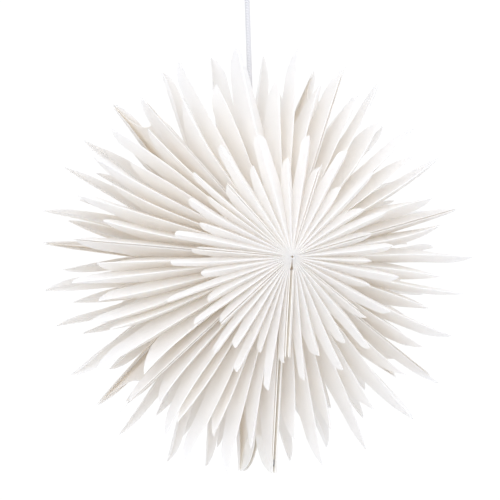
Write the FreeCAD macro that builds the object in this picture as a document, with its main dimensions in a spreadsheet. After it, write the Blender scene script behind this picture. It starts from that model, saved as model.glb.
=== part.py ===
import FreeCAD, Part
import math
import os
import Sketcher

# Hanging paper star: seven pleated paper bags, glued wall to wall and fanned into a full circle.
# Frame: +Z up, the star's front faces -Y, origin where the hook bears in the hanging loop.
# Directions round the star are degrees counter-clockwise from +X, as seen from the front.

os.makedirs("parts", exist_ok=True)
doc = FreeCAD.newDocument("PaperStar")
Vector = FreeCAD.Vector

# Driving dimensions, in millimetres and degrees.
DIMENSIONS = {
    "star_drop": 353.0,            # hook point down to the star's middle
    "spine_radius": 15.0,          # inner edge of every wall
    "paper_thickness": 0.4,
    "cover_thickness": 0.8,
    "bottom_flap": 1.6,            # hem along a bag's closed bottom
    "fringe_peak": 120.0,          # where the outer sheets' folds meet on the star's axis
    "fringe_slope": 0.174,
    "fringe_short_radius": 115.0,
    "fringe_long_radius": 146.0,
    "fringe_notch_radius": 78.0,
    "fringe_valley_slope": 0.34,
    "fringe_bulge": 3.4,
    "blade_peak": 98.0,            # where the inner sheets' folds meet on the star's axis
    "blade_slope": 0.176,
    "blade_short_radius": 216.0,
    "blade_long_radius": 250.0,
    "blade_notch_radius": 155.0,
    "blade_valley_slope": 0.42,
    "blade_bulge": 11.0,
    "sheet_start": 15.0,
    "sheet_clearance": 1.6,        # first fold of a sheet to the wall plane beside it
    "seam_sheet_clearance": 4.0,   # the same in the two bags at the seam
    "wall_edge_depth": 117.5,
    "wall_tip_depth": 100.0,
    "wall_notch_depth": 84.3,
    "wall_blade_depth": 54.0,
    "wall_valley_radius": 206.0,
    "wall_fringe_arc": 60.0,
    "wall_blade_arc": 60.0,
    "seam_gap": 0.3,
    "magnet_diameter": 8.0,
    "magnet_thickness": 1.5,
    "magnet_reach": 238.0,
    "magnet_depth": 48.5,
    "cord_diameter": 6.0,
    "cord_hole": 6.5,
    "strip_width": 8.0,
    "strip_length": 232.0,
    "strip_thickness": 1.0,
    "strip_height": 13.0,          # underside of the strip above the star's middle
    "end_knot_diameter": 9.0,
    "end_knot_height": 8.0,
    "loop_knot_diameter": 18.0,
    "loop_knot_height": 12.0,
    "loop_leg": 16.0,
    "loop_bend": 6.0,              # centreline radius of the loop's top
    "knot_round": 2.5,
}

# Walls between bags, from the seam at the bottom round by the right side and the top.
WALL_DIRECTIONS = [268.5, 324.0, 373.0, 426.0, 489.0, 533.5, 581.5, 628.5]
BAGS = len(WALL_DIRECTIONS) - 1
FRINGE_INTERVALS = 6
BLADE_INTERVALS = 8

sheet = doc.addObject("Spreadsheet::Sheet", "Dimensions")
for row, (alias, value) in enumerate(DIMENSIONS.items(), start=1):
    sheet.set(f"A{row}", alias)
    sheet.set(f"B{row}", str(value))
    sheet.setAlias(f"B{row}", alias)
for row, direction in enumerate(WALL_DIRECTIONS, start=1):
    sheet.set(f"D{row}", f"wall_direction_{row}")
    sheet.set(f"E{row}", str(direction))
    sheet.setAlias(f"E{row}", f"wall_direction_{row}")
doc.recompute()

parts = []


def size(alias):
    """A driving dimension, read back from the spreadsheet."""
    return float(sheet.get(alias))


def bind(target, prop, expression):
    """Binds a property to the spreadsheet; names in braces are its aliases."""
    target.setExpression(prop, expression.replace("{", "Dimensions.").replace("}", ""))


def outward(degrees):
    """Unit vector from the star's axis in a direction round the star."""
    angle = math.radians(degrees)
    return Vector(math.cos(angle), 0, math.sin(angle))


def clockwise(degrees):
    """Unit vector square to a wall, on its clockwise side."""
    angle = math.radians(degrees)
    return Vector(math.sin(angle), 0, -math.cos(angle))


FRONT = Vector(0, -1, 0)
MIDDLE = Vector(0, 0, -size("star_drop"))


def wall_placement(degrees, shift):
    """Local X runs outward, local Y to the front and local Z to the wall's clockwise side."""
    rotation = FreeCAD.Rotation(outward(degrees), FRONT, clockwise(degrees), "ZXY")
    return FreeCAD.Placement(MIDDLE + clockwise(degrees) * shift, rotation)


def new_body(label):
    body = doc.addObject("PartDesign::Body", label)
    body.Label = label
    parts.append(body)
    return body


def new_sketch(body, name, plane="XY_Plane"):
    sketch = body.newObject("Sketcher::SketchObject", name)
    origin_plane = next(f for f in body.Origin.OriginFeatures if f.Role == plane)
    sketch.AttachmentSupport = [(origin_plane, "")]
    sketch.MapMode = "FlatFace"
    return sketch


def pin_corner(sketch, edge, end, x_rule, y_rule):
    """Holds a sketch corner at spreadsheet distances from the sketch's origin."""
    point = sketch.getPoint(edge, end)
    for kind, value, rule in (("DistanceX", point.x, x_rule), ("DistanceY", point.y, y_rule)):
        if rule is None:
            sketch.addConstraint(Sketcher.Constraint("PointOnObject", edge, end, -1))
            continue
        index = sketch.addConstraint(Sketcher.Constraint(kind, -1, 1, edge, end, value))
        bind(sketch, f"Constraints[{index}]", rule)


def signed(name, sign):
    return None if name is None else ("{" + name + "}" if sign > 0 else "-{" + name + "}")


def outline(sketch, corners, arcs):
    """Closed outline, run clockwise. corners: (x alias, y alias, y sign), y alias None on the X axis.
    arcs: corner number -> alias of the radius of the outward-bowed edge that follows that corner."""
    points = [Vector(size(x), size(y) * sign if y else 0, 0) for x, y, sign in corners]
    starts = []
    ends = []
    for number, start in enumerate(points):
        end = points[(number + 1) % len(points)]
        if number in arcs:
            radius = size(arcs[number])
            chord = end - start
            inward = Vector(chord.y, -chord.x, 0).normalize()
            reach = math.sqrt(radius ** 2 - (chord.Length / 2) ** 2)
            centre = (start + end) * 0.5 + inward * reach
            first = math.atan2(end.y - centre.y, end.x - centre.x)
            last = math.atan2(start.y - centre.y, start.x - centre.x)
            circle = Part.Circle(centre, Vector(0, 0, 1), radius)
            edge = sketch.addGeometry(Part.ArcOfCircle(circle, first, last))
            index = sketch.addConstraint(Sketcher.Constraint("Radius", edge, radius))
            bind(sketch, f"Constraints[{index}]", "{" + arcs[number] + "}")
            starts.append((edge, 2))
            ends.append((edge, 1))
        else:
            edge = sketch.addGeometry(Part.LineSegment(start, end))
            starts.append((edge, 1))
            ends.append((edge, 2))
    for number, (x, y, sign) in enumerate(corners):
        edge, end = starts[number]
        before = ends[number - 1]
        sketch.addConstraint(Sketcher.Constraint("Coincident", before[0], before[1], edge, end))
        pin_corner(sketch, edge, end, signed(x, 1), signed(y, sign))


WALL_CORNERS = [
    ("spine_radius", "wall_edge_depth", 1),
    ("fringe_short_radius", "wall_tip_depth", 1),
    ("fringe_notch_radius", "wall_notch_depth", 1),
    ("blade_long_radius", "wall_blade_depth", 1),
    ("wall_valley_radius", None, 1),
    ("blade_long_radius", "wall_blade_depth", -1),
    ("fringe_notch_radius", "wall_notch_depth", -1),
    ("fringe_short_radius", "wall_tip_depth", -1),
    ("spine_radius", "wall_edge_depth", -1),
]
WALL_ARCS = {1: "wall_fringe_arc", 3: "wall_blade_arc", 4: "wall_blade_arc", 6: "wall_fringe_arc"}


def pad(body, sketch, name, length, back):
    feature = body.newObject("PartDesign::Pad", name)
    feature.Profile = sketch
    bind(feature, "Length", length)
    feature.Reversed = back
    sketch.Visibility = False
    return feature


def make_wall(label, degrees, side, shift, thickness, flap):
    """One flat sheet with a front and a back point, and the hem of the bag's bottom where flap is set.
    side is 1 on the clockwise side of the wall plane and -1 on the other."""
    body = new_body(label)
    face = new_sketch(body, "Outline")
    outline(face, WALL_CORNERS, WALL_ARCS)
    pad(body, face, "Sheet", thickness, side < 0)
    if flap:
        hem = new_sketch(body, "HemOutline")
        rectangle(hem, "{spine_radius}", "{spine_radius} + {paper_thickness}", "{wall_edge_depth}")
        pad(body, hem, "Hem", "{bottom_flap}", side < 0)
    body.Placement = wall_placement(degrees, shift * side)
    return body


def rectangle(sketch, left, right, half_height):
    """Rectangle centred on the X axis, between two distances from the sketch's origin."""
    corners = [(1, 1), (2, 1), (2, -1), (1, -1)]
    rules = {1: left, 2: right}
    points = [Vector(x, y, 0) for x, y in corners]
    for start, end in zip(points, points[1:] + points[:1]):
        sketch.addGeometry(Part.LineSegment(start, end))
    for edge, (x, y) in enumerate(corners):
        sketch.addConstraint(Sketcher.Constraint("Coincident", (edge - 1) % 4, 2, edge, 1))
        pin_corner(sketch, edge, 1, rules[x], half_height if y > 0 else f"-{half_height}")


def make_pleats(label, number, kind, intervals, tips):
    """Front pleated sheet of one bag: a fan of facets whose folds meet near the star's axis.
    tips are the radii of the fold tips, in turn from the bag's first wall."""
    start = WALL_DIRECTIONS[number]
    span = WALL_DIRECTIONS[number + 1] - start
    seam_bag = number in (0, BAGS - 1)
    clearance = size("seam_sheet_clearance" if seam_bag else "sheet_clearance")
    inset = clearance / math.sin(math.radians(span / 2))
    peak = MIDDLE + outward(start + span / 2) * inset + FRONT * size(f"{kind}_peak")
    ridge_slope = size(f"{kind}_slope")
    valley_slope = size(f"{kind}_valley_slope")
    notch = size(f"{kind}_notch_radius")
    thickness = size("paper_thickness")
    near = size("sheet_start")

    def point(direction, radius, slope):
        return peak + outward(direction) * radius - FRONT * (slope * radius)

    facets = []
    for interval in range(intervals):
        valley = start + span * (interval + 0.5) / intervals
        for fold in (interval, interval + 1):
            ridge = start + span * fold / intervals
            near_ridge = point(ridge, near, ridge_slope)
            tip = point(ridge, tips[fold % 2], ridge_slope)
            root = point(valley, notch, valley_slope)
            near_valley = point(valley, near, valley_slope)
            normal = (tip - near_ridge).cross(root - near_ridge).normalize()
            bow = (tip - root).cross(normal).normalize()
            if bow.dot(near_ridge - root) > 0:
                bow = -bow
            crown = (tip + root) * 0.5 + bow * size(f"{kind}_bulge")
            edges = [
                Part.makeLine(near_ridge, tip),
                Part.Arc(tip, crown, root).toShape(),
                Part.makeLine(root, near_valley),
                Part.makeLine(near_valley, near_ridge),
            ]
            face = Part.Face(Part.Wire(edges))
            face.translate(normal * (-thickness / 2))
            facets.append(face.extrude(normal * thickness))
    fused = facets[0].multiFuse(facets[1:])
    feature = doc.addObject("Part::Feature", label)
    feature.Label = label
    feature.Shape = fused.Solids[0]
    feature.Placement = FreeCAD.Placement()
    parts.append(feature)
    return feature


def make_mirror(label, source):
    """The same sheet on the star's back."""
    mirror = doc.addObject("Part::Mirroring", label)
    mirror.Label = label
    mirror.Source = source
    mirror.Normal = FRONT
    parts.append(mirror)
    return mirror


# Walls: each bag has one at either end. Two glued walls share a wall plane, except at the seam.
seam_stack = size("seam_gap") / 2 + size("magnet_thickness")
wall_shift_at_seam = seam_stack + size("cover_thickness")
for number in range(BAGS):
    first = WALL_DIRECTIONS[number]
    last = WALL_DIRECTIONS[number + 1]
    first_shift = wall_shift_at_seam if number == 0 else 0
    last_shift = wall_shift_at_seam if number == BAGS - 1 else 0
    make_wall(f"bag_{number + 1}_wall_a", first, -1, first_shift, "{paper_thickness}", True)
    make_wall(f"bag_{number + 1}_wall_b", last, 1, last_shift, "{paper_thickness}", True)
make_wall("end_cover_right", WALL_DIRECTIONS[0], -1, seam_stack, "{cover_thickness}", False)
make_wall("end_cover_left", WALL_DIRECTIONS[-1], 1, seam_stack, "{cover_thickness}", False)

# Pleated sheets: a short fringe outside and long blades inside, front and back.
for number in range(BAGS):
    name = f"bag_{number + 1}"
    fringe_tips = (size("fringe_short_radius"), size("fringe_long_radius"))
    blade_tips = (size("blade_long_radius"), size("blade_short_radius"))
    fringe = make_pleats(f"{name}_front_fringe", number, "fringe", FRINGE_INTERVALS, fringe_tips)
    blades = make_pleats(f"{name}_front_blades", number, "blade", BLADE_INTERVALS, blade_tips)
    make_mirror(f"{name}_back_fringe", fringe)
    make_mirror(f"{name}_back_blades", blades)

# Magnets on the two end covers, a pair at the front points and a pair at the back points.
for cover, degrees, side in (("right", WALL_DIRECTIONS[0], -1), ("left", WALL_DIRECTIONS[-1], 1)):
    for place, toward in (("front", 1), ("back", -1)):
        magnet = doc.addObject("Part::Cylinder", f"magnet_{place}_{cover}")
        magnet.Label = f"magnet_{place}_{cover}"
        bind(magnet, "Radius", "{magnet_diameter} / 2")
        bind(magnet, "Height", "{magnet_thickness}")
        placement = wall_placement(degrees, 0)
        base = size("seam_gap") / 2 if side > 0 else -seam_stack
        local = Vector(size("magnet_reach"), size("magnet_depth") * toward, base)
        magnet.Placement = placement.multiply(FreeCAD.Placement(local, FreeCAD.Rotation()))
        parts.append(magnet)

# Stiff bottom of the top bag, with a hole for the cord.
strip = new_body("hanging_strip")
strip_face = new_sketch(strip, "StripOutline")
rectangle(strip_face, "-{strip_width} / 2", "{strip_width} / 2", "{strip_length} / 2")
pad(strip, strip_face, "Strip", "{strip_thickness}", False)
hole_circle = new_sketch(strip, "HoleCircle")
hole_circle.addGeometry(Part.Circle(Vector(0, 0, 0), Vector(0, 0, 1), size("cord_hole") / 2))
hole_circle.addConstraint(Sketcher.Constraint("Coincident", 0, 3, -1, 1))
diameter = hole_circle.addConstraint(Sketcher.Constraint("Diameter", 0, size("cord_hole")))
bind(hole_circle, f"Constraints[{diameter}]", "{cord_hole}")
hole = strip.newObject("PartDesign::Pocket", "CordHole")
hole.Profile = hole_circle
hole.Type = "ThroughAll"
hole.Reversed = True
strip.Placement.Base = MIDDLE + Vector(0, 0, size("strip_height"))


def make_knot(label, diameter, height, base):
    """Barrel-shaped knot: a rounded cylinder with flat ends where the cord meets it."""
    body = new_body(label)
    circle = new_sketch(body, "KnotCircle")
    circle.addGeometry(Part.Circle(Vector(0, 0, 0), Vector(0, 0, 1), size(diameter) / 2))
    circle.addConstraint(Sketcher.Constraint("Coincident", 0, 3, -1, 1))
    index = circle.addConstraint(Sketcher.Constraint("Diameter", 0, size(diameter)))
    bind(circle, f"Constraints[{index}]", "{" + diameter + "}")
    barrel = pad(body, circle, "Barrel", "{" + height + "}", False)
    doc.recompute()
    rims = [f"Edge{n}" for n, edge in enumerate(barrel.Shape.Edges, start=1) if edge.Closed]
    fillet = body.newObject("PartDesign::Fillet", "Rounding")
    fillet.Base = (barrel, rims)
    bind(fillet, "Radius", "{knot_round}" if diameter == "loop_knot_diameter" else "{knot_round} / 2")
    body.Placement.Base = base
    return body


# Cord: one straight run, from the knot under the strip to the knot under the loop.
cord_foot = MIDDLE + Vector(0, 0, size("strip_height"))
loop_knot_top = -size("cord_diameter") / 2 - size("loop_leg")
cord_head = loop_knot_top - size("loop_knot_height")
make_knot("end_knot", "end_knot_diameter", "end_knot_height",
          cord_foot - Vector(0, 0, size("end_knot_height")))
make_knot("loop_knot", "loop_knot_diameter", "loop_knot_height", Vector(0, 0, cord_head))
cord = doc.addObject("Part::Cylinder", "cord")
cord.Label = "cord"
bind(cord, "Radius", "{cord_diameter} / 2")
bind(cord, "Height", "{star_drop} - {strip_height} - {cord_diameter} / 2 - {loop_leg} - {loop_knot_height}")
cord.Placement.Base = cord_foot
parts.append(cord)

# Hanging loop: the cord's own bight, both legs standing on the knot.
loop = new_body("hanging_loop")
bight = new_sketch(loop, "Bight", "XZ_Plane")
bend = size("loop_bend")
bend_height = -size("cord_diameter") / 2
bight.addGeometry(Part.LineSegment(Vector(-bend, loop_knot_top, 0), Vector(-bend, bend_height, 0)))
arc_circle = Part.Circle(Vector(0, bend_height, 0), Vector(0, 0, 1), bend)
bight.addGeometry(Part.ArcOfCircle(arc_circle, 0, math.pi))
bight.addGeometry(Part.LineSegment(Vector(bend, bend_height, 0), Vector(bend, loop_knot_top, 0)))
bight.addConstraint(Sketcher.Constraint("Coincident", 0, 2, 1, 2))
bight.addConstraint(Sketcher.Constraint("Coincident", 1, 1, 2, 1))
LOOP_TOP = "-{cord_diameter} / 2"
LOOP_FOOT = "-{cord_diameter} / 2 - {loop_leg}"
pin_corner(bight, 0, 1, "-{loop_bend}", LOOP_FOOT)
pin_corner(bight, 0, 2, "-{loop_bend}", LOOP_TOP)
pin_corner(bight, 2, 1, "{loop_bend}", LOOP_TOP)
pin_corner(bight, 2, 2, "{loop_bend}", LOOP_FOOT)
centre_index = bight.addConstraint(Sketcher.Constraint("DistanceY", -1, 1, 1, 3, bend_height))
bind(bight, f"Constraints[{centre_index}]", LOOP_TOP)
section = new_sketch(loop, "CordSection")
section.AttachmentOffset.Base = Vector(-bend, 0, loop_knot_top)
section.addGeometry(Part.Circle(Vector(0, 0, 0), Vector(0, 0, 1), size("cord_diameter") / 2))
section.addConstraint(Sketcher.Constraint("Coincident", 0, 3, -1, 1))
section_index = section.addConstraint(Sketcher.Constraint("Diameter", 0, size("cord_diameter")))
bind(section, f"Constraints[{section_index}]", "{cord_diameter}")
bind(section, "AttachmentOffset.Base.x", "-{loop_bend}")
bind(section, "AttachmentOffset.Base.z", LOOP_FOOT)
doc.recompute()
pipe = loop.newObject("PartDesign::AdditivePipe", "LoopPipe")
pipe.Profile = section
pipe.Spine = bight

doc.recompute()

problems = []
for obj in doc.Objects:
    if "Invalid" in obj.State or "Error" in obj.State:
        problems.append(f"{obj.Label}: {obj.State}")
for obj in parts:
    if obj.Shape.isNull() or not obj.Shape.isValid() or len(obj.Shape.Solids) != 1:
        problems.append(f"{obj.Label}: not one valid solid")
if problems:
    raise SystemExit("\n".join(problems))

for obj in parts:
    obj.Shape.exportStep(os.path.join("parts", f"{obj.Label}.step"))
print(len(parts), "parts written")
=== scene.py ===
import math
import random

import bpy
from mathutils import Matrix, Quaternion, Vector


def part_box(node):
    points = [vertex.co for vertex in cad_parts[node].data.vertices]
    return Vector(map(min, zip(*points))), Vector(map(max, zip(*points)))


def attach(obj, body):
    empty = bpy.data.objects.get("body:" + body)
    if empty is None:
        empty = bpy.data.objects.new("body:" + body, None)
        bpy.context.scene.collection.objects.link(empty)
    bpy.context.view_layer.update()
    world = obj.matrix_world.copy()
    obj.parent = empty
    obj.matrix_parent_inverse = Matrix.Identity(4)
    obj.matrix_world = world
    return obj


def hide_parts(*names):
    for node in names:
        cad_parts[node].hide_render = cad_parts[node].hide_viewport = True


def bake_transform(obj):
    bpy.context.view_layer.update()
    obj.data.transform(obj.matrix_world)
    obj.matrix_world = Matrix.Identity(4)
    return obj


# Hanging paper star: seven pleated paper bags fanned into a circle, on a white cord.
# Frame: metres, +Z up, the star's front faces -Y, origin where the hook bears in the loop.
# Directions round the star are degrees counter-clockwise from +X, as seen from the front.
# A slope is how far a line runs back from the front for each metre outward.

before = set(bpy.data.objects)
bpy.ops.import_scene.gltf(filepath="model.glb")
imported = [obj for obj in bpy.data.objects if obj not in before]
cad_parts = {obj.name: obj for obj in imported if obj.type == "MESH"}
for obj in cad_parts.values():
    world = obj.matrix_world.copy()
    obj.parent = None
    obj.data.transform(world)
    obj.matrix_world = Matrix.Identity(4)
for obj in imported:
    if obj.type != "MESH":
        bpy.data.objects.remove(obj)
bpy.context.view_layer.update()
random.seed(7)

FRONT = Vector((0, -1, 0))
STRIP_HEIGHT = 0.013                   # underside of the hanging strip above the star's middle
MIDDLE = Vector((0, 0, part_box("hanging_strip")[0].z - STRIP_HEIGHT))
BAGS = 7                               # numbered from 0 here and from 1 in names
LEAVES = [f"leaf_{wall}" for wall in range(BAGS + 1)]   # bodies of the walls between the bags
CORD_DIRECTION = 450                   # straight up
CORD_BAG = 3                           # the cord hangs inside this bag
BEFORE_CORD = 0.4                      # pleats between the cord and the fold before it

# The two kinds of pleated sheet, front and back alike:
#   intervals                  pleats from wall to wall, one fewer than the folds
#   peak                       where the folds meet, in front of the star's middle
#   ridge_slope, valley_slope  of the folds and of the valleys between them
#   tips                       how far out the folds reach, the odd ones and the even ones
#   notch                      how far out the valleys are whole; past it the blades are cut free
#   start                      where the paper begins, along a fold
#   taper                      least and most of a facet's depth that is left at its tip, as a share
#   end                        length of the rounded end of a blade
#   crease                     radius of a fold's crease
#   reference                  radius at which the pleats close exactly when the bag folds flat
# and the most that a fold strays at random: its tip sideways (lean), forwards (dip) and round its
# own line in degrees (twist), its reach as a share (length) and its direction in degrees (wander).
SHEETS = {
    "fringe": {
        "intervals": 6, "peak": 0.120, "ridge_slope": 0.174, "valley_slope": 0.34,
        "tips": (0.115, 0.146), "notch": 0.082, "start": 0.0014,
        "taper": (0.55, 0.75), "end": 0.0085, "crease": 0.00045, "reference": 0.10,
        "lean": 0.003, "dip": 0.002, "twist": 8.0, "length": 0.06, "wander": 1.5,
    },
    "blades": {
        "intervals": 8, "peak": 0.098, "ridge_slope": 0.176, "valley_slope": 0.395,
        "tips": (0.250, 0.216), "notch": 0.152, "start": 0.014,
        "taper": (0.42, 0.60), "end": 0.031, "crease": 0.0005, "reference": 0.19,
        "lean": 0.009, "dip": 0.009, "twist": 20.0, "length": 0.035, "wander": 1.15,
    },
}
SLOPE_STRAY = 0.006                    # most that a fold's slope strays at random
VALLEY_STRAY = 0.05                    # the same for a valley's slope and notch, as a share
VALLEY_WANDER = 0.6                    # a valley's wander, as a share of a fold's
BELLY = 0.0009                         # most that a facet bulges, at random
FULL_BELLY = 0.03                      # a facet shorter than this bulges less
HEM = 0.007                            # strip of a pleated sheet glued down on a wall
BLUNT = 0.997                          # a blade ends this share of the way to its tip, never in a point
BENT_FROM = 0.6                        # a blade bends past this share of its length
NEAR_CORD = 14                         # folds this close to the cord, in degrees, hardly bend
NEAR_CORD_BEND = 0.1

PAPER = 0.0003                         # thickness of the paper
WALL_GAP = 0.0007                      # from a wall's plane to the nearest crease
SEAM_SHEET = 0.0030                    # from the seam's plane to the end sheet, past the cover
SEAM_GAP = 0.0036                      # and to the nearest crease
APART_FROM = 0.022                     # creases meet at the star's middle and keep their gaps from here
CLEAR = 0.0005                         # past its gap, a pleat follows its wall for this much more

# How a fold's turn is spread, as a share of the width its bag has at the reference radius.
LEAST_SPREAD = 0.42
COVER_SPREAD = 0.9                     # for the folds glued to a cover

# Corners of an end sheet: distance outward, and forward of the star's middle plane.
SPINE = 0.0150                         # radius at which end sheets and spine strips meet
SPINE_CORNER = (SPINE, 0.1140)
FRINGE_POINT = (0.111, 0.0970)
INNER_NOTCH = (0.078, 0.0815)
BLADE_POINT = (0.244, 0.0520)
OUTER_NOTCH = (0.206, 0.0)
SPINE_DEPTH = 0.0900                   # a spine strip, from the star's middle plane
SPINE_CLEAR = 1.5                      # and from a wall that isn't at the seam, in degrees

INNER_ROWS = 9                         # cross-sections of a blade up to its notch
OUTER_ROWS = 18                        # and past it
CREASE_POINTS = 5
FACET_SHARES = (0.04, 0.20, 0.45, 0.72, 1.0)   # columns of a facet, from its crease to its cut edge
SPINE_STEPS = 8
EDGE_STEPS = 10                        # points of a bowed edge of an end sheet


def outward(degrees):
    angle = math.radians(degrees)
    return Vector((math.cos(angle), 0, math.sin(angle)))


def sideways(degrees):
    """Unit vector square to a direction round the star, counter-clockwise of it."""
    angle = math.radians(degrees)
    return Vector((-math.sin(angle), 0, math.cos(angle)))


def wall_direction(name, after):
    """Direction of a flat wall round the star, at or past a given one: the line from the middle of
    its near half to the middle of its far half."""
    places = [vertex.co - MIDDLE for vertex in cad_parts[name].data.vertices]
    places.sort(key=lambda place: place.x ** 2 + place.z ** 2)
    half = len(places) // 2
    line = sum(places[-half:], Vector()) - sum(places[:half], Vector())
    degrees = math.degrees(math.atan2(line.z, line.x))
    while degrees < after:
        degrees += 360
    return degrees


WALLS = [wall_direction("end_cover_right", 180)]
for wall in range(1, BAGS):
    WALLS.append(wall_direction(f"bag_{wall}_wall_b", WALLS[-1] + 1))
WALLS.append(wall_direction("end_cover_left", WALLS[-1] + 1))


def fold_direction(bag, fold, count):
    """Direction of a fold of an evenly opened bag. The cord's bag opens evenly on either side of
    the cord, which hangs in the valley between two folds, closer to the first."""
    first, last = WALLS[bag], WALLS[bag + 1]
    if bag != CORD_BAG:
        return first + (last - first) * fold / count
    before = int((CORD_DIRECTION - first) / (last - first) * count)
    if fold <= before:
        return first + (CORD_DIRECTION - first) * fold / (before + BEFORE_CORD)
    return CORD_DIRECTION + (last - CORD_DIRECTION) * (fold - before) / (count - before)


def fold_neighbours(bag, direction):
    """Directions and bodies that a fold turns between: its bag's two walls, or in the cord's bag
    the cord and the wall on the fold's side of it."""
    first, last = WALLS[bag], WALLS[bag + 1]
    leaf_before, leaf_after = LEAVES[bag], LEAVES[bag + 1]
    if bag != CORD_BAG:
        return first, last, leaf_before, leaf_after
    if direction <= CORD_DIRECTION:
        return first, CORD_DIRECTION, leaf_before, "hanger"
    return CORD_DIRECTION, last, "hanger", leaf_after


def wobble(amount):
    return random.uniform(-amount, amount)


def ease(share):
    share = min(1.0, max(0.0, share))
    return share * share * (3 - 2 * share)


# ---------------------------------------------------------------- materials

MIX_A, MIX_B, MIX_RESULT = 6, 7, 2     # the colour sockets of a Mix node


def node(tree, kind, **inputs):
    made = tree.nodes.new(kind)
    for name, value in inputs.items():
        made.inputs[name.replace("_", " ")].default_value = value
    return made


def noise(tree, place, scale, detail, roughness):
    made = node(tree, "ShaderNodeTexNoise", Scale=scale, Detail=detail, Roughness=roughness)
    tree.links.new(place, made.inputs["Vector"])
    return made.outputs["Fac"]


def ramp(tree, source, stops):
    made = tree.nodes.new("ShaderNodeValToRGB")
    elements = made.color_ramp.elements
    for element, (position, color) in zip(elements, stops):
        element.position = position
        element.color = (*color, 1)
    tree.links.new(source, made.inputs["Fac"])
    return made.outputs["Color"]


def bump(tree, source, strength, distance, below=None):
    made = node(tree, "ShaderNodeBump", Strength=strength, Distance=distance)
    tree.links.new(source, made.inputs["Height"])
    if below is not None:
        tree.links.new(below, made.inputs["Normal"])
    return made.outputs["Normal"]


def between(tree, source, least, most):
    made = node(tree, "ShaderNodeMapRange", To_Min=least, To_Max=most)
    tree.links.new(source, made.inputs["Value"])
    return made.outputs["Result"]


def coordinates(tree, kind):
    return tree.nodes.new("ShaderNodeTexCoord").outputs[kind]


def new_material(name):
    material = bpy.data.materials.new(name)
    material.use_nodes = True
    return material, material.node_tree, material.node_tree.nodes["Principled BSDF"]


def paper(name, light, dark, through):
    """Uncoated paper: clouded pulp, fine fibres, soft light passing through the sheet."""
    material, tree, shader = new_material(name)
    place = coordinates(tree, "UV")
    stretch = node(tree, "ShaderNodeMapping", Scale=(0.35, 1.6, 1.0))
    tree.links.new(place, stretch.inputs["Vector"])
    clouds = noise(tree, place, 38.0, 4.0, 0.6)
    fibres = noise(tree, stretch.outputs["Vector"], 620.0, 3.0, 0.7)
    blend = tree.nodes.new("ShaderNodeMix")
    blend.data_type = "RGBA"
    blend.blend_type = "MULTIPLY"
    blend.inputs["Factor"].default_value = 1.0
    tree.links.new(ramp(tree, clouds, [(0.3, dark), (0.7, light)]), blend.inputs[MIX_A])
    flecks = ramp(tree, fibres, [(0.35, (0.990,) * 3), (0.65, (1.0,) * 3)])
    tree.links.new(flecks, blend.inputs[MIX_B])
    color = blend.outputs[MIX_RESULT]
    normal = bump(tree, fibres, 0.30, 0.00012, bump(tree, clouds, 0.35, 0.0012))
    tree.links.new(color, shader.inputs["Base Color"])
    tree.links.new(between(tree, fibres, 0.72, 0.9), shader.inputs["Roughness"])
    tree.links.new(normal, shader.inputs["Normal"])
    shader.inputs["Specular IOR Level"].default_value = 0.25
    glow = tree.nodes.new("ShaderNodeBsdfTranslucent")
    tree.links.new(color, glow.inputs["Color"])
    tree.links.new(normal, glow.inputs["Normal"])
    mixed = node(tree, "ShaderNodeMixShader", Fac=through)
    tree.links.new(shader.outputs["BSDF"], mixed.inputs[1])
    tree.links.new(glow.outputs["BSDF"], mixed.inputs[2])
    tree.links.new(mixed.outputs["Shader"], tree.nodes["Material Output"].inputs["Surface"])
    return material


def card_material():
    """Uncoated white board: a little greyer and smoother than the sheets, with a mottled surface."""
    material, tree, shader = new_material("white_card")
    mottle = noise(tree, coordinates(tree, "Object"), 160.0, 5.0, 0.65)
    tint = ramp(tree, mottle, [(0.3, (0.89, 0.86, 0.80)), (0.7, (0.95, 0.925, 0.875))])
    tree.links.new(tint, shader.inputs["Base Color"])
    tree.links.new(between(tree, mottle, 0.6, 0.8), shader.inputs["Roughness"])
    tree.links.new(bump(tree, mottle, 0.4, 0.0003), shader.inputs["Normal"])
    return material


def braid_material():
    """White textile braid: slanting strands with a soft fuzz on them."""
    material, tree, shader = new_material("white_braid")
    place = coordinates(tree, "Object")
    fuzz = noise(tree, place, 900.0, 4.0, 0.7)
    wave = node(tree, "ShaderNodeTexWave", Scale=190.0, Distortion=1.2, Detail=1.0)
    wave.wave_type = "BANDS"
    wave.bands_direction = "DIAGONAL"
    tree.links.new(place, wave.inputs["Vector"])
    strands = wave.outputs["Fac"]
    tint = ramp(tree, strands, [(0.0, (0.56, 0.545, 0.545)), (0.6, (0.73, 0.715, 0.705))])
    tree.links.new(tint, shader.inputs["Base Color"])
    shader.inputs["Roughness"].default_value = 0.85
    shader.inputs["Sheen Weight"].default_value = 0.3
    low = bump(tree, strands, 0.5, 0.0003)
    tree.links.new(bump(tree, fuzz, 0.4, 0.0001, low), shader.inputs["Normal"])
    return material


def steel_material():
    """Nickel-plated magnet with light scuffs."""
    material, tree, shader = new_material("magnet_steel")
    scuffs = noise(tree, coordinates(tree, "Object"), 700.0, 6.0, 0.75)
    tint = ramp(tree, scuffs, [(0.3, (0.40, 0.40, 0.41)), (0.7, (0.60, 0.60, 0.61))])
    tree.links.new(tint, shader.inputs["Base Color"])
    tree.links.new(between(tree, scuffs, 0.25, 0.5), shader.inputs["Roughness"])
    tree.links.new(bump(tree, scuffs, 0.3, 0.0001), shader.inputs["Normal"])
    shader.inputs["Metallic"].default_value = 1.0
    return material


PLEAT_PAPER = paper("pleat_paper", (0.978, 0.967, 0.949), (0.968, 0.956, 0.936), 0.50)
WALL_PAPER = paper("wall_paper", (0.974, 0.958, 0.932), (0.963, 0.946, 0.917), 0.52)
CARD = card_material()
BRAID = braid_material()
STEEL = steel_material()


# ---------------------------------------------------------------- pleated sheets

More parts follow.
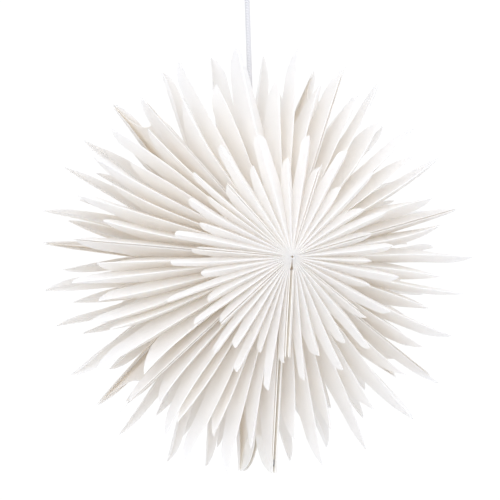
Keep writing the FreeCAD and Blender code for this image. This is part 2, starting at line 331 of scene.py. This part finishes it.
def paper_piece(name, points, faces, uvs, material):
    """A sheet of paper of its real thickness, smooth but for its cut edges, which stay crisp."""
    mesh = bpy.data.meshes.new(name)
    mesh.from_pydata(points, [], faces)
    layer = mesh.uv_layers.new(name="Paper")
    for loop in mesh.loops:
        layer.data[loop.index].uv = uvs[loop.vertex_index]
    uses = {}
    for polygon in mesh.polygons:
        polygon.use_smooth = True
        for key in polygon.edge_keys:
            uses[key] = uses.get(key, 0) + 1
    for edge in mesh.edges:
        edge.use_edge_sharp = uses[edge.key] == 1
    mesh.materials.append(material)
    mesh.validate()
    obj = bpy.data.objects.new(name, mesh)
    bpy.context.scene.collection.objects.link(obj)
    thickness = obj.modifiers.new("Paper", "SOLIDIFY")
    thickness.thickness = PAPER
    thickness.offset = 0
    return obj


def cross_section(point, left, right, reach_left, reach_right, crease):
    """Points across one blade, from its left cut edge over the rounded crease to its right one, as
    (place, distance across the sheet, share of the facet). left and right are unit vectors down
    the two facets, and reach is how far each goes."""
    half_angle = math.acos(max(-1.0, min(1.0, left.dot(right)))) / 2
    shorter = max(1e-5, min(reach_left, reach_right))
    radius = min(crease, 0.4 * shorter * math.tan(half_angle))
    tangent = radius / math.tan(half_angle)
    down = (left + right).normalized()
    across = (right - left).normalized()
    centre = point + down * (radius / math.sin(half_angle))
    row = []
    for share in reversed(FACET_SHARES):
        reach = tangent + (max(reach_left, tangent) - tangent) * share
        row.append((point + left * reach, -reach, share))
    for step in range(CREASE_POINTS):
        turn = (step / (CREASE_POINTS - 1) * 2 - 1) * (math.pi / 2 - half_angle)
        row.append((centre - down * (radius * math.cos(turn)) + across * (radius * math.sin(turn)),
                    radius * turn, 0.0))
    for share in FACET_SHARES:
        reach = tangent + (max(reach_right, tangent) - tangent) * share
        row.append((point + right * reach, reach, share))
    return row


def facet(ridge_line, valley_line):
    """A facet between a fold and a valley, both given as lines for each metre of radius: the unit
    vector in its plane square to the fold, and how far the valley goes along the fold and away."""
    along = ridge_line.normalized()
    ahead = valley_line.dot(along)
    down = valley_line - along * ahead
    return down.normalized(), ahead, down.length


def blade_width(cut, taper, end):
    """Share of a facet's full depth left at a place between its notch and its tip: the cut edge
    runs straight and rounds off at the end."""
    rounded = min(1.0, max(0.0, (cut - (1 - end)) / end))
    return (1 - (1 - taper) * cut) * (1 - rounded ** 2.1) ** 0.62


def hem_reach(at, root_at, tip_at):
    """Width of the glued hem at a place along the fold."""
    cut = max(0.0, (at - root_at) / (tip_at - root_at))
    return HEM * min(1.0, at / root_at * 1.5) * (1 - cut ** 3) ** 0.8


def facet_reach(ahead, deep, notch, at, tip_at, taper, end):
    """How far a facet goes down from its fold at a place along the fold."""
    rooted = notch * ahead
    if at <= rooted:
        return deep / ahead * at
    cut = (at - rooted) / (tip_at - rooted)
    return deep / ahead * rooted * blade_width(cut, taper, end / (tip_at - rooted))


def blade_stations(start, root_at, tip_at):
    """Places of the cross-sections along a fold: even up to the notch, then closer and closer."""
    stations = [start + (root_at - start) * row / INNER_ROWS for row in range(INNER_ROWS)]
    for row in range(OUTER_ROWS + 1):
        share = BLUNT * (1 - (1 - row / OUTER_ROWS) ** 1.7)
        stations.append(root_at + (tip_at - root_at) * share)
    return stations


def build_blade(name, inset, ridge, valleys, tip, shape, on_front, bending):
    """One fold of a pleated sheet with a facet on either side, as one curved strip of paper.
    ridge is (direction, slope) and a valley (direction, slope, notch). A valley that is None stands
    for a wall, where the sheet ends in a narrow hem."""
    ridge_line = outward(ridge[0]) - FRONT * ridge[1]
    along = ridge_line.normalized()
    into_depth = (-FRONT - along * (-FRONT).dot(along)).normalized()
    facets = [facet(ridge_line, outward(valley[0]) - FRONT * valley[1]) if valley else None
              for valley in valleys]
    downs = [side[0] if side else into_depth for side in facets]
    tip_at = tip * ridge_line.length
    root_at = min(valley[2] * side[1] for valley, side in zip(valleys, facets) if side)
    taper = random.uniform(*shape["taper"])
    end = shape["end"] * random.uniform(0.8, 1.2)
    glued = None in valleys
    bend = {key: 0.0 if glued else wobble(shape[key]) * bending for key in ("lean", "dip", "twist")}
    belly = [wobble(BELLY), wobble(BELLY)]
    shift = (random.random(), random.random())
    apex = MIDDLE + inset + FRONT * shape["peak"]
    bend_offset = sideways(ridge[0]) * bend["lean"] + FRONT * bend["dip"]
    bent_from = BENT_FROM * tip_at
    stations = blade_stations(shape["start"], root_at, tip_at)
    points = []
    uvs = []
    for at in stations:
        reaches = []
        for valley, side in zip(valleys, facets):
            if side:
                reaches.append(facet_reach(side[1], side[2], valley[2], at, tip_at, taper, end))
            else:
                reaches.append(hem_reach(at, root_at, tip_at))
        bent = max(0.0, (at - bent_from) / (tip_at - bent_from)) ** 2
        roll = Quaternion(along, math.radians(bend["twist"]) * bent)
        left, right = (roll @ down for down in downs)
        centre = apex + along * at - inset * (1 - ease(at / APART_FROM)) + bend_offset * bent
        section = cross_section(centre, left, right, *reaches, shape["crease"])
        for column, (point, across, share) in enumerate(section):
            side = 0 if column < len(FACET_SHARES) else 1
            normal = along.cross(right if side else left).normalized()
            curl = belly[side] * math.sin(math.pi * share) * min(1.0, reaches[side] / FULL_BELLY)
            point = point + normal * curl
            if not on_front:
                point.y = 2 * MIDDLE.y - point.y
            points.append(point)
            uvs.append((at + shift[0], across + shift[1]))
    width = 2 * len(FACET_SHARES) + CREASE_POINTS
    faces = []
    for row in range(len(stations) - 1):
        for column in range(width - 1):
            corner = row * width + column
            face = [corner, corner + 1, corner + width + 1, corner + width]
            faces.append(face if on_front else face[::-1])
    return paper_piece(name, points, faces, uvs, PLEAT_PAPER)


def hang(obj, direction, first, last, body_before, body_after, reference, clear, spread):
    """Bakes a blade's placement into its mesh; the blade stays as built and does not turn or close.
    direction, first, last, body_before, body_after, reference, clear and spread are not used."""
    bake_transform(obj)


def build_sheet(bag, kind, face_name):
    """One pleated sheet of one bag: a separate piece for each fold, all along the sheet."""
    shape = SHEETS[kind]
    first, last = WALLS[bag], WALLS[bag + 1]
    count = shape["intervals"]
    gaps = [SEAM_GAP if wall in (0, BAGS) else WALL_GAP for wall in (bag, bag + 1)]
    inset = (outward(first) * gaps[1] + outward(last) * gaps[0]) / math.sin(math.radians(last - first))
    folds = []
    for fold in range(count + 1):
        inner = 0 < fold < count
        direction = fold_direction(bag, fold, count) + (wobble(shape["wander"]) if inner else 0)
        folds.append((direction, shape["ridge_slope"] + wobble(SLOPE_STRAY)))
    valleys = [None]
    for before, after in zip(folds, folds[1:]):
        direction = (before[0] + after[0]) / 2 + wobble(shape["wander"] * VALLEY_WANDER)
        if before[0] < CORD_DIRECTION < after[0]:
            direction = CORD_DIRECTION
        slope = shape["valley_slope"] * (1 + wobble(VALLEY_STRAY))
        valleys.append((direction, slope, shape["notch"] * (1 + wobble(VALLEY_STRAY))))
    valleys.append(None)
    piece_name = "fringe" if kind == "fringe" else "blade"
    for fold, ridge in enumerate(folds):
        tip = shape["tips"][fold % 2] * (1 + wobble(shape["length"]) - shape["length"] * 0.5)
        name = f"bag_{bag + 1}_{face_name}_{piece_name}_{fold + 1}"
        by_cord = bag == CORD_BAG and abs(ridge[0] - CORD_DIRECTION) < NEAR_CORD
        obj = build_blade(name, inset, ridge, (valleys[fold], valleys[fold + 1]), tip, shape,
                          face_name == "front", NEAR_CORD_BEND if by_cord else 1.0)
        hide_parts(f"bag_{bag + 1}_{face_name}_{kind}")
        place = fold_direction(bag, fold, count)
        clear = (gaps[0] if fold < count / 2 else gaps[1]) + CLEAR
        on_cover = (bag, fold) in ((0, 0), (BAGS - 1, count))
        hang(obj, place, *fold_neighbours(bag, place), shape["reference"], clear,
             COVER_SPREAD if on_cover else LEAST_SPREAD)


# ---------------------------------------------------------------- end sheets and spine strips

def cut_edge(start, end, bow):
    """Points from one corner of a wall towards the next, along an edge that bows outward."""
    chord = (end[0] - start[0], end[1] - start[1])
    points = []
    for step in range(EDGE_STEPS):
        share = step / EDGE_STEPS
        swell = bow * 4 * share * (1 - share)
        points.append((start[0] + chord[0] * share + chord[1] * swell,
                       start[1] + chord[1] * share - chord[0] * swell))
    return points


def build_wall(bag, end):
    """End sheet of a bag: flat paper with a front and a back point, just behind the pleats' folds."""
    wall, side = (bag, 1) if end == "a" else (bag + 1, -1)
    shift = (SEAM_SHEET if wall in (0, BAGS) else PAPER) * side
    front = [SPINE_CORNER]
    front += cut_edge(FRINGE_POINT, INNER_NOTCH, 0.12)
    front += [INNER_NOTCH]
    front += cut_edge(BLADE_POINT, OUTER_NOTCH, 0.20)
    outline = front + [OUTER_NOTCH] + [(x, -y) for x, y in reversed(front)]
    across = sideways(WALLS[wall])
    points = [MIDDLE + outward(WALLS[wall]) * x + FRONT * y + across * shift for x, y in outline]
    obj = paper_piece(f"bag_{bag + 1}_end_sheet_{end}", points, [list(range(len(points)))],
                      outline, WALL_PAPER)
    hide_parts(f"bag_{bag + 1}_wall_{end}")
    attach(obj, LEAVES[wall])


def build_spine(bag):
    """Inner edge of a bag, closed along the star's spine by a curved strip between its end sheets."""
    at_seam = math.degrees(math.asin(SEAM_SHEET / SPINE))
    first = WALLS[bag] + (at_seam if bag == 0 else SPINE_CLEAR)
    last = WALLS[bag + 1] - (at_seam if bag == BAGS - 1 else SPINE_CLEAR)
    depths = (-SPINE_DEPTH, 0, SPINE_DEPTH)
    points = []
    uvs = []
    for step in range(SPINE_STEPS + 1):
        degrees = first + (last - first) * step / SPINE_STEPS
        for depth in depths:
            points.append(MIDDLE + outward(degrees) * SPINE + FRONT * depth)
            uvs.append((math.radians(degrees) * SPINE, depth))
    width = len(depths)
    faces = []
    for step in range(SPINE_STEPS):
        for row in range(width - 1):
            corner = step * width + row
            faces.append([corner, corner + 1, corner + width + 1, corner + width])
    obj = paper_piece(f"bag_{bag + 1}_spine_strip", points, faces, uvs, WALL_PAPER)
    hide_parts(f"bag_{bag + 1}_wall_a")
    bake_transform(obj)


for bag in range(BAGS):
    build_wall(bag, "a")
    build_wall(bag, "b")
    if bag != CORD_BAG:
        build_spine(bag)
    for kind in ("fringe", "blades"):
        for face_name in ("front", "back"):
            build_sheet(bag, kind, face_name)


# ---------------------------------------------------------------- CAD pieces that stay

def dress(names, material):
    for name in names:
        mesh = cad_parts[name].data
        mesh.materials.clear()
        mesh.materials.append(material)


dress(["end_cover_right", "end_cover_left", "hanging_strip"], CARD)
dress([f"magnet_{place}_{cover}" for place in ("front", "back") for cover in ("right", "left")], STEEL)


# ---------------------------------------------------------------- cord

CORD = 0.006                           # diameter
LOOP_BEND = 0.006                      # radius of the loop's top
KNOT_POINTS = 24


def tube(name, line, radius, closed, node_name):
    """A piece of cord along a smooth line, in place of a CAD node."""
    curve = bpy.data.curves.new(name, "CURVE")
    curve.dimensions = "3D"
    curve.bevel_depth = radius
    curve.bevel_resolution = 5
    spline = curve.splines.new("NURBS")
    spline.points.add(len(line) - 1)
    for point, place in zip(spline.points, line):
        point.co = (*place, 1)
    spline.order_u = 3
    spline.use_cyclic_u = closed
    spline.use_endpoint_u = not closed
    spline.resolution_u = 8
    curve.materials.append(BRAID)
    obj = bpy.data.objects.new(name, curve)
    bpy.context.scene.collection.objects.link(obj)
    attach(obj, "hanger")
    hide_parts(node_name)
    return obj


def knot(name, node_name):
    """A tight overhand knot, as the closed curve of one, inside the CAD knot's box."""
    low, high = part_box(node_name)
    centre = (low + high) / 2
    radius = min(CORD / 2, (high.x - low.x) / 4.2)
    flat = ((high.x - low.x) / 2 - radius) / 3
    tall = max((high.z - low.z) / 2 - radius, 0.0008)
    line = []
    for step in range(KNOT_POINTS):
        turn = step / KNOT_POINTS * 2 * math.pi
        line.append(centre + Vector((flat * (math.sin(turn) + 2 * math.sin(2 * turn)),
                                     flat * (math.cos(turn) - 2 * math.cos(2 * turn)),
                                     -tall * math.sin(3 * turn))))
    return tube(name, line, radius, True, node_name)


cord_low, cord_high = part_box("cord")
cord_foot = Vector((0, 0, cord_low.z))
cord_head = Vector((0, 0, cord_high.z))
cord_line = [cord_foot, cord_foot.lerp(cord_head, 0.5), cord_head]
hanging_cord = tube("hanging_cord", cord_line, CORD / 2, False, "cord")

loop_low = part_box("hanging_loop")[0].z
loop_top = -CORD / 2
loop_half = (loop_low + loop_top) / 2
shoulder = loop_top + LOOP_BEND * 0.72
loop_line = [
    Vector((-LOOP_BEND, 0, loop_low)),
    Vector((-LOOP_BEND, 0, loop_half)),
    Vector((-LOOP_BEND, 0, loop_top)),
    Vector((-LOOP_BEND * 0.9, 0, shoulder)),
    Vector((0, 0, loop_top + LOOP_BEND * 1.15)),
    Vector((LOOP_BEND * 0.9, 0, shoulder)),
    Vector((LOOP_BEND, 0, loop_top)),
    Vector((LOOP_BEND, 0, loop_half)),
    Vector((LOOP_BEND, 0, loop_low)),
]
cord_loop = tube("cord_loop", loop_line, CORD / 2, False, "hanging_loop")
top_knot = knot("top_knot", "loop_knot")
stop_knot = knot("stop_knot", "end_knot")


# ---------------------------------------------------------------- studio

FLOOR_HEIGHT = MIDDLE.z - 0.62
FLOOR_REACH = 3.0
FLOOR_CORNERS = [(-1, -1), (1, -1), (1, 1), (-1, 1)]
COOL_WHITE = (0.893, 0.926, 1.0)
BRIGHT_SIDE = Vector((-0.10, -0.80, 0.55)).normalized()   # the room is brightest towards this
BOUNCES = 64


def floor_material():
    material, _, shader = new_material("studio_floor")
    shader.inputs["Base Color"].default_value = (0.86, 0.86, 0.86, 1)
    shader.inputs["Roughness"].default_value = 0.9
    return material


def build_floor():
    mesh = bpy.data.meshes.new("studio_floor")
    corners = [(FLOOR_REACH * x, FLOOR_REACH * y, FLOOR_HEIGHT) for x, y in FLOOR_CORNERS]
    mesh.from_pydata(corners, [], [(0, 1, 2, 3)])
    mesh.materials.append(floor_material())
    obj = bpy.data.objects.new("studio_floor", mesh)
    bpy.context.scene.collection.objects.link(obj)


def build_room():
    """A white backdrop, and a soft fill light that comes mostly from the front and above."""
    world = bpy.data.worlds.new("studio")
    world.use_nodes = True
    bpy.context.scene.world = world
    tree = world.node_tree
    backdrop = node(tree, "ShaderNodeBackground", Color=(1, 1, 1, 1), Strength=1.05)
    fill = node(tree, "ShaderNodeBackground", Color=(*COOL_WHITE, 1))
    toward = tree.nodes.new("ShaderNodeVectorMath")
    toward.operation = "DOT_PRODUCT"
    toward.inputs[1].default_value = BRIGHT_SIDE
    tree.links.new(coordinates(tree, "Generated"), toward.inputs[0])
    falloff = node(tree, "ShaderNodeMapRange", From_Min=-1.0, From_Max=1.0, To_Min=0.62, To_Max=1.47)
    tree.links.new(toward.outputs["Value"], falloff.inputs["Value"])
    tree.links.new(falloff.outputs["Result"], fill.inputs["Strength"])
    rays = tree.nodes.new("ShaderNodeLightPath")
    choose = tree.nodes.new("ShaderNodeMixShader")
    tree.links.new(rays.outputs["Is Camera Ray"], choose.inputs["Fac"])
    tree.links.new(fill.outputs["Background"], choose.inputs[1])
    tree.links.new(backdrop.outputs["Background"], choose.inputs[2])
    tree.links.new(choose.outputs["Shader"], tree.nodes["World Output"].inputs["Surface"])


def softbox(name, place, size, energy, color):
    """A square lamp at a place from the star's middle, turned towards it."""
    light = bpy.data.lights.new(name, "AREA")
    light.shape = "SQUARE"
    light.size = size
    light.energy = energy
    light.color = color
    obj = bpy.data.objects.new(name, light)
    obj.location = MIDDLE + Vector(place)
    obj.rotation_mode = "QUATERNION"
    obj.rotation_quaternion = (-Vector(place)).to_track_quat("-Z", "Y")
    bpy.context.scene.collection.objects.link(obj)


build_floor()
build_room()
softbox("key_light", (0.9, -1.6, 2.2), 1.6, 7.5, (0.92, 0.945, 1.0))
softbox("front_light", (-1.9, -2.0, 0.6), 2.0, 10.0, COOL_WHITE)
bpy.context.scene.view_settings.view_transform = "Standard"
bpy.context.scene.cycles.max_bounces = BOUNCES
bpy.context.scene.cycles.diffuse_bounces = BOUNCES
bpy.context.scene.cycles.transmission_bounces = BOUNCES


# ---------------------------------------------------------------- camera

AZIMUTH = math.radians(-20.5)
ELEVATION = math.radians(-2)
ROLL = math.radians(-1.9)
DISTANCE = 3.6
FIELD = 0.593                          # width of the view at the star's middle
LOWERED = 0.0132                       # the star's middle sits this far below the view's centre
ASIDE = 0.0064                         # and this far to the right of it
SENSOR = 36

camera_data = bpy.data.cameras.new("camera")
camera_data.sensor_width = SENSOR
camera_data.lens = SENSOR * DISTANCE / FIELD
camera_data.clip_start = 0.1
camera_data.clip_end = 50
camera = bpy.data.objects.new("camera", camera_data)
bpy.context.scene.collection.objects.link(camera)
bpy.context.scene.camera = camera
back = Vector((math.sin(AZIMUTH) * math.cos(ELEVATION), -math.cos(AZIMUTH) * math.cos(ELEVATION),
               math.sin(ELEVATION)))
aim = MIDDLE + Vector((-math.cos(AZIMUTH) * ASIDE, -math.sin(AZIMUTH) * ASIDE, LOWERED))
camera.location = aim + back * DISTANCE
camera.rotation_mode = "QUATERNION"
camera.rotation_quaternion = (-back).to_track_quat("-Z", "Y") @ Quaternion((0, 0, 1), ROLL)
